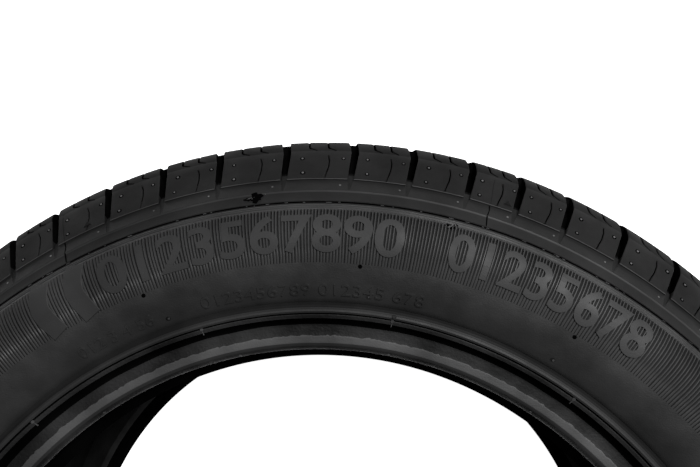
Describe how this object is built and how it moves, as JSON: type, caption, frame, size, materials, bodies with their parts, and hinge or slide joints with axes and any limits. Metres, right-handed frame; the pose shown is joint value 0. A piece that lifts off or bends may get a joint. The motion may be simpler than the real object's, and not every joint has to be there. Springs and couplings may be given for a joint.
{
  "type": "trailer tyre",
  "caption": "Radial trailer tyre with a ribbed sidewall band, cross-grooved shoulder blocks, straight round tread grooves and bead seats for a wheel rim.",
  "frame": {"origin": "the middle of the tyre, on its axis of rotation", "axes": "+Z along the axis of rotation, towards the sidewall that faces up as the tyre lies; +Y towards the top of the picture"},
  "size_m": [0.526, 0.5258, 0.201],
  "materials": {
    "tyre": "satin black moulded rubber"
  },
  "bodies": {
    "root": {"tyre": "tyre"}
  },
  "joints": []
}
